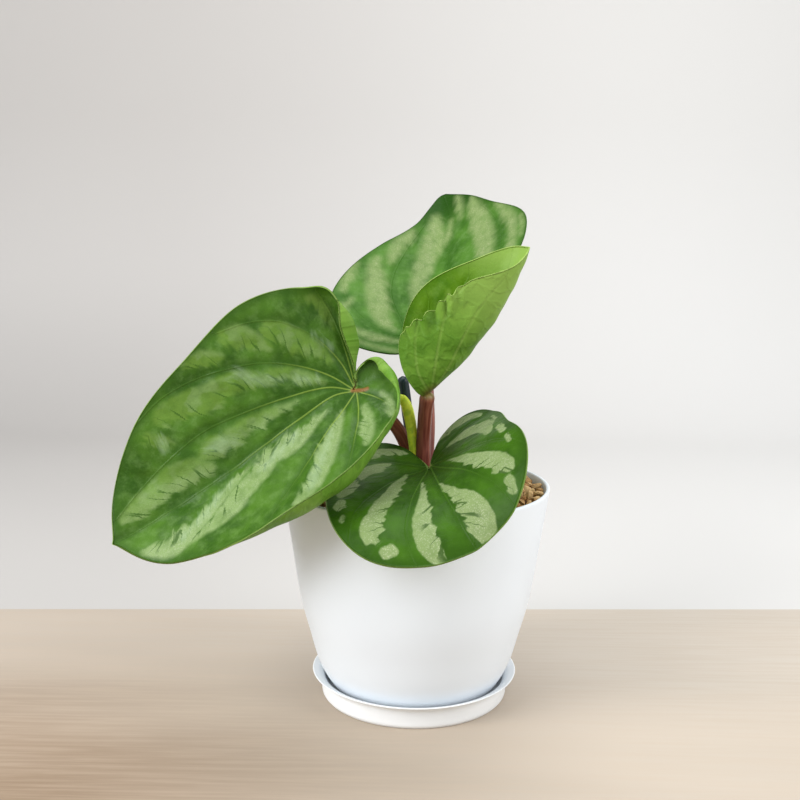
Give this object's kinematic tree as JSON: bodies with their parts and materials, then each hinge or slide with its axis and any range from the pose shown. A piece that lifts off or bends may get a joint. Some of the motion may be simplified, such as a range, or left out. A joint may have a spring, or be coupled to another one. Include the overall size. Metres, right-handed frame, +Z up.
{
  "type": "potted plant",
  "caption": "Young potted peperomia with heart-shaped, silver-banded leaves on dark stems, a new shoot and a stake, in a round tapered pot of granules on its saucer",
  "frame": {"origin": "the middle of the saucer's flat underside", "axes": "+Z is up along the pot's axis; -Y is the side seen in the picture, and +X is its right"},
  "size_m": [0.1647, 0.1677, 0.201],
  "materials": {
    "white_plastic": "smooth satin moulded plastic",
    "granules": "rough, porous, dry",
    "stem": "fleshy, slightly glossy",
    "leaf": "fleshy, glossy between sunken veins",
    "young_leaf": "fleshy, soft gloss",
    "shoot": "fleshy, soft gloss",
    "stake": "smooth coated rod"
  },
  "bodies": {
    "root": {"saucer": "white_plastic", "pot": "white_plastic", "granules": "granules", "stake": "stake", "stems": "stem", "new_shoot": "shoot", "leaf_large": "leaf", "leaf_back": "leaf", "leaf_young": "young_leaf", "leaf_front": "leaf"}
  },
  "joints": []
}
